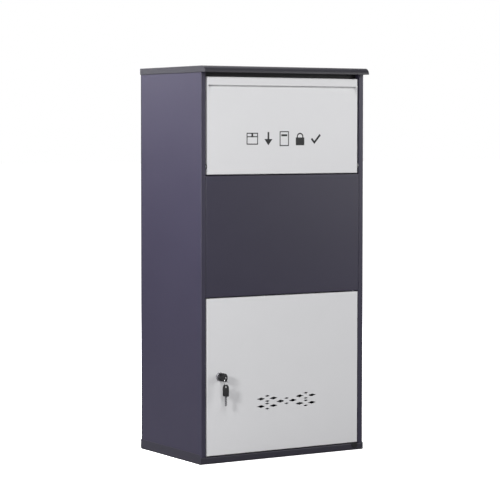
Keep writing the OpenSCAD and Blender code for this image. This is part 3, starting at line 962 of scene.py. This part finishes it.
@dataclass
class CamLock:
    """The cam lock: a bezel and threaded barrel in the door, and a plug that turns in it.

    Attributes:
        bezel_r: Radius of the bezel.
        bezel_h: How far the bezel stands in front of the door.
        bore_r: Radius of the bore that the plug turns in.
        barrel_r: Radius over the thread.
        thread: Depth of the thread.
        pitch: Distance from one thread to the next.
        flat: Half the distance across the barrel's flats.
        lead: Length without a thread at the barrel's end.
        dish: Depth of the bezel's dished face.
        barrel_sides: Number of faces round the barrel.
        bezel_sides: Number of faces round the bezel.
        screw_shape: Shape of the cam's screw.
    """

    bezel_r: float = 11.0 * MM
    bezel_h: float = 5.0 * MM
    bore_r: float = 6.5 * MM
    barrel_r: float = 9.5 * MM
    thread: float = 0.45 * MM
    pitch: float = 1.25 * MM
    flat: float = 8.0 * MM
    lead: float = 0.5 * MM
    dish: float = 0.35 * MM
    barrel_sides: int = 48
    bezel_sides: int = 64
    screw_shape: PanScrew = PanScrew()

    def build(self) -> None:
        """Builds the fixed parts, then the ones that turn."""
        self.housing()
        refine("lock_nut", LOCK_METAL, "door", Edge.CAST, "turned")
        refine("lock_plug", LOCK_METAL, "lock_plug", Edge.TURNED, "turned")
        refine("lock_cam", LOCK_METAL, "lock_plug", Edge.TURNED, "pressed")
        self.screw()

    def barrel_section(self, length: float) -> list[Point]:
        """Section through the threaded barrel's wall.

        One lead stays free of thread at its end and at least two behind the bezel.

        Args:
            length: Length of the barrel.

        Returns:
            Radius and height of each corner, from the barrel's free end.
        """
        root_r = self.barrel_r - self.thread
        turns = int((length - 3 * self.lead) / self.pitch)
        thread = []
        for turn in range(turns):
            thread.append((self.barrel_r, (turn + 0.35) * self.pitch + self.lead))
            thread.append((root_r, (turn + 0.85) * self.pitch + self.lead))
        end = [(self.bore_r, 0), (self.barrel_r - 0.6 * MM, 0)]
        return [*end, *thread, (root_r, length), (self.bore_r, length)]

    def bezel_section(self) -> list[Point]:
        """Section through the bezel: its rounded rim, its crown and its dished face."""
        rim, top, low = self.bezel_r, self.bezel_h, self.bezel_h - self.dish
        foot = [(self.bore_r, 0), (rim - 0.2 * MM, 0), (rim, 0.2 * MM), (rim, top - 1.5 * MM)]
        rounding = [(rim - 0.25 * MM, top - 0.75 * MM), (rim - 0.9 * MM, top - 0.2 * MM)]
        crown = [(rim - 1.6 * MM, top), (rim - 2.4 * MM, top)]
        face = [(rim - 2.7 * MM, low), (self.bore_r + 0.5 * MM, low), (self.bore_r, top - 0.8 * MM)]
        return [*foot, *rounding, *crown, *face]

    def housing(self) -> None:
        """The threaded barrel with its two flats, and the bezel in front of the door."""
        low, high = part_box("lock_body")
        middle = Vector((mean(low.x, high.x), high.y, mean(low.z, high.z)))
        door_face = low.y + self.bezel_h
        form = Form()
        barrel = self.barrel_section(high.y - door_face)
        form.lathe(barrel, Way.FRONT.at(middle), self.barrel_sides, closed=True)
        for vert in form.bm.verts:
            vert.co.z = middle.z + max(-self.flat, min(self.flat, vert.co.z - middle.z))
        front = Vector((middle.x, door_face, middle.z))
        form.lathe(self.bezel_section(), Way.FRONT.at(front), self.bezel_sides, closed=True)
        form.piece("lock_housing", LOCK_METAL, "door", ["lock_body"], Edge.NONE)

    def screw(self) -> None:
        """The pan-head screw that holds the cam."""
        low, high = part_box("cam_screw")
        foot = Vector((mean(low.x, high.x), low.y, mean(low.z, high.z)))
        form = Form()
        profile = self.screw_shape.profile((high.x - low.x) / 2, high.y - low.y)
        form.lathe(profile, Way.BACK.at(foot), self.screw_shape.sides)
        form.piece("cam_screw_turned", ZINC_PARTS, "lock_plug", ["cam_screw"], Edge.NONE)


# ---------------------------------------------------------------- keys


@dataclass
class Key:
    """A flat key: a moulded head with raised grip pads on a cut steel blade.

    Attributes:
        prefix: What its nodes' names start with.
        body: Name of the body it rides on.
        place: Its own plane, with the head's outer end at the origin and the blade along +Y.
        pad: Width and length of a grip pad.
        pad_middle: Distance from the head's outer end to the pads' middle.
        pad_t: Thickness over both pads.
        pad_corner: Corner radius of a pad.
    """

    prefix: str
    body: str
    place: Matrix
    pad: Point = (13.5 * MM, 14.0 * MM)
    pad_middle: float = 19.5 * MM
    pad_t: float = 3.5 * MM
    pad_corner: float = 3.5 * MM

    def build(self) -> None:
        """Builds the head and the blade."""
        head = f"{self.prefix}_head"
        blade = f"{self.prefix}_blade"
        form = Form.of_node(head)
        middle = self.place @ Matrix.Translation((0, self.pad_middle, 0))
        form.plate(*self.pad, self.pad_t, self.pad_corner, middle)
        form.piece(f"{head}_moulded", KEY_PLASTIC, self.body, [head], Edge.CAST)
        refine(blade, KEY_STEEL, self.body, Edge.KEEN, "cut")


@dataclass
class SplitRing:
    """A split ring of two turns of wire.

    Attributes:
        place: The ring's plane and centre.
        radius: Radius of the wire's middle.
        wire_r: Radius of the wire.
        gap: Distance between the two turns' middles.
        flat_angle: How far round each flat turn goes, in degrees.
        cross_angle: How far round the step between them goes, in degrees.
        wire_sides: Number of faces round the wire.
        flat_steps: Number of sections along each flat turn.
        cross_steps: Number of sections along the step.
    """

    place: Matrix
    radius: float = 9.8 * MM
    wire_r: float = 0.34 * MM
    gap: float = 0.7 * MM
    flat_angle: float = 325.0
    cross_angle: float = 60.0
    wire_sides: int = 12
    flat_steps: int = 60
    cross_steps: int = 14

    def build(self) -> None:
        """Winds the wire: one flat turn, a step across, and the second flat turn."""
        shape = bmesh.new()
        start = Matrix.Translation((self.radius, 0, -self.gap / 2)) @ Matrix.Rotation(math.pi / 2, 4, "X")
        wire = bmesh.ops.create_circle(
            shape, cap_ends=False, segments=self.wire_sides, radius=self.wire_r, matrix=start,
        )["verts"]
        ends = [list({edge for vert in wire for edge in vert.link_edges})]
        flat = (self.flat_angle, 0.0, self.flat_steps)
        across = (self.cross_angle, self.gap, self.cross_steps)
        for angle, rise, steps in (flat, across, flat):
            section = ends[-1] + list({vert for edge in ends[-1] for vert in edge.verts})
            last = bmesh.ops.spin(
                shape, geom=section, axis=(0, 0, 1), cent=(0, 0, 0), dvec=(0, 0, rise / steps),
                steps=steps, angle=math.radians(angle), use_merge=False,
            )["geom_last"]
            ends.append([item for item in last if isinstance(item, bmesh.types.BMEdge)])
        for rim in (ends[0], ends[-1]):
            bmesh.ops.contextual_create(shape, geom=rim)
        form = Form()
        form.take(shape, self.place)
        form.piece("key_ring_wound", KEY_STEEL, "key_ring", ["key_ring"], Edge.NONE)


@dataclass
class KeySet:
    """The key in the lock, the ring through its head and the spare key that hangs from it.

    Attributes:
        ring_turn: Turn of the ring about the vertical, in degrees.
        spare_turn: Turn of the spare key about the vertical, in degrees.
    """

    ring_turn: float = 40.0
    spare_turn: float = -80.0

    def build(self) -> None:
        """Builds both keys and the ring."""
        head_low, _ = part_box("key_head")
        plug_low, plug_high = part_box("lock_plug")
        ring_low, ring_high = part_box("key_ring")
        _, spare_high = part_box("spare_key_head")
        lock_x, lock_z = mean(plug_low.x, plug_high.x), mean(plug_low.z, plug_high.z)
        ring_y, ring_z = mean(ring_low.y, ring_high.y), mean(ring_low.z, ring_high.z)
        in_lock = Matrix.Translation((lock_x, head_low.y, lock_z)) @ Matrix.Rotation(math.pi / 2, 4, "Y")
        on_ring = (
            Matrix.Translation((lock_x, ring_y, spare_high.z))
            @ Matrix.Rotation(math.radians(self.spare_turn), 4, "Z")
            @ Matrix.Rotation(-math.pi / 2, 4, "X")
        )
        hoop = (
            Matrix.Translation((lock_x, ring_y, ring_z))
            @ Matrix.Rotation(math.radians(self.ring_turn), 4, "Z")
            @ Matrix.Rotation(math.pi / 2, 4, "X")
        )
        Key("key", "key", in_lock).build()
        Key("spare_key", "spare_key", on_ring).build()
        SplitRing(hoop).build()


# ---------------------------------------------------------------- studio


@dataclass
class SoftBox:
    """A rectangular light.

    Attributes:
        name: The light's name.
        place: Where it stands.
        target: What it points at.
        size: Width and height.
        power: Power in watts.
    """

    name: str
    place: tuple[float, float, float]
    target: tuple[float, float, float]
    size: Point
    power: float

    def build(self) -> None:
        """Makes the light."""
        data = bpy.data.lights.new(self.name, "AREA")
        data.shape = "RECTANGLE"
        data.size, data.size_y = self.size
        data.energy = self.power
        lamp = bpy.data.objects.new(self.name, data)
        lamp.location = self.place
        way = Vector(self.target) - Vector(self.place)
        lamp.rotation_euler = way.to_track_quat("-Z", "Y").to_euler()
        bpy.context.scene.collection.objects.link(lamp)


LIGHTS = (
    SoftBox("side", (-1.45, 0.2, 1.95), (-0.2, 0, 0.8), (0.7, 0.7), 84),
    SoftBox("key", (-2.0, -1.4, 0.95), (0, 0, 0.5), (0.3, 0.4), 22),
    SoftBox("front", (-1.5, -3.8, 2.5), (0, 0, 0.5), (1.6, 1.6), 82),
    SoftBox("right", (2.3, -2.1, 1.35), (0, 0, 0.5), (1.4, 1.6), 34),
    SoftBox("top", (0.3, 0.6, 3.0), (0, 0, 0.9), (2.0, 2.0), 16),
    SoftBox("back", (-0.4, 3.1, 1.8), (0, 0, 0.5), (2.0, 1.6), 45),
    SoftBox("far_side", (2.7, 1.3, 1.5), (0.2, 0.1, 0.5), (1.4, 1.6), 60),
)


@dataclass
class Studio:
    """Pale floor, soft lights, near-white surroundings and the camera.

    Attributes:
        camera_at: The camera's place.
        yaw: Its turn from +Y towards +X, in degrees.
        pitch: Its tilt above the horizon, in degrees.
        roll: Its roll, in degrees.
        lens: Focal length for a sensor 36 mm wide.
        rise: Vertical shift of the lens, as a share of the picture's width.
        reach: How far the camera sees.
        floor_size: Half the floor's width.
        floor_tones: The floor's darkest and palest colour, as the camera sees them.
        floor_glow: Strength of the floor's own light, which only the camera sees.
        floor_bounce: Colour of the floor to all other light.
        sky_low: Light from below.
        sky_high: Light from above.
    """

    camera_at: tuple[float, float, float] = (-2.7802, -4.4898, 0.8398)
    yaw: float = 31.708
    pitch: float = -2.698
    roll: float = 0.032
    lens: float = 145.06
    rise: float = -0.05
    reach: float = 200.0
    floor_size: float = 40.0
    floor_tones: tuple[Colour, Colour] = ((0.93, 0.93, 0.93), (0.96, 0.96, 0.96))
    floor_glow: float = 0.97
    floor_bounce: Colour = (0.14, 0.14, 0.145)
    sky_low: Colour = (0.04, 0.04, 0.042)
    sky_high: Colour = (0.13, 0.13, 0.135)

    def build(self) -> None:
        """Sets up everything round the object."""
        bpy.context.scene.view_settings.view_transform = "Standard"
        self.surroundings()
        self.floor()
        self.camera()
        for light in LIGHTS:
            light.build()

    def surroundings(self) -> None:
        """White to the camera, but as light dim, and dimmer from below."""
        world = bpy.data.worlds.new("surroundings")
        bpy.context.scene.world = world
        graph = Graph(world)
        way = graph.node("ShaderNodeTexCoord", output="Generated")
        up = graph.node("ShaderNodeSeparateXYZ", None, {0: way}, 2)
        sky = graph.blend(up.ramp(-0.25, 0.35), self.sky_low, self.sky_high)
        lit = graph.node("ShaderNodeBackground", None, {"Color": sky, "Strength": 1.0})
        seen = graph.node("ShaderNodeBackground", None, {"Color": (1, 1, 1, 1), "Strength": 1.0})
        camera_ray = graph.node("ShaderNodeLightPath", output="Is Camera Ray")
        mixed = graph.node("ShaderNodeMixShader", None, {0: camera_ray, 1: lit, 2: seen})
        graph.node("ShaderNodeOutputWorld", None, {"Surface": mixed})

    def floor(self) -> None:
        """A plain pale floor with a faint unevenness."""
        bm = bmesh.new()
        bmesh.ops.create_grid(bm, x_segments=1, y_segments=1, size=self.floor_size)
        mesh = bpy.data.meshes.new("floor")
        bm.to_mesh(mesh)
        bm.free()
        made = bpy.data.objects.new("floor", mesh)
        bpy.context.scene.collection.objects.link(made)
        paint = bpy.data.materials.new("floor_paint")
        graph = Graph(paint)
        cloud = graph.noise(graph.place(), 0.5, 2, 0.5)
        white = graph.blend(cloud, *self.floor_tones)
        seen = graph.node("ShaderNodeBsdfDiffuse", None, {"Color": white})
        glow = graph.node("ShaderNodeEmission", None, {"Color": (1, 1, 1, 1), "Strength": self.floor_glow})
        pale = graph.node("ShaderNodeAddShader", None, {0: seen, 1: glow})
        bounce = graph.node("ShaderNodeBsdfDiffuse", None, {"Color": (*self.floor_bounce, 1)})
        camera_ray = graph.node("ShaderNodeLightPath", output="Is Camera Ray")
        mixed = graph.node("ShaderNodeMixShader", None, {0: camera_ray, 1: bounce, 2: pale})
        graph.node("ShaderNodeOutputMaterial", None, {"Surface": mixed})
        mesh.materials.append(paint)

    def camera(self) -> None:
        """The camera, with its roll worked into its axes."""
        yaw, pitch, roll = (math.radians(angle) for angle in (self.yaw, self.pitch, self.roll))
        level_way = Vector((math.sin(yaw), math.cos(yaw), 0))
        ahead = level_way * math.cos(pitch) + Vector((0, 0, math.sin(pitch)))
        level = ahead.cross(Vector((0, 0, 1))).normalized()
        upright = level.cross(ahead)
        right = math.cos(roll) * level + math.sin(roll) * upright
        up = math.cos(roll) * upright - math.sin(roll) * level
        turn = Matrix((right, up, -ahead)).transposed().to_4x4()
        data = bpy.data.cameras.new("camera")
        data.sensor_width = 36
        data.lens = self.lens
        data.shift_y = self.rise
        data.clip_end = self.reach
        made = bpy.data.objects.new("camera", data)
        made.matrix_world = Matrix.Translation(self.camera_at) @ turn
        bpy.context.scene.collection.objects.link(made)
        bpy.context.scene.camera = made


def main() -> None:
    """Builds the sub-assemblies in order."""
    logging.basicConfig(level=logging.INFO, format="%(message)s")
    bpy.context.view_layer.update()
    Studio().build()
    Cabinet().build()
    Hopper().build()
    CollectionDoor().build()
    CamLock().build()
    KeySet().build()


if __name__ == "__main__":
    main()
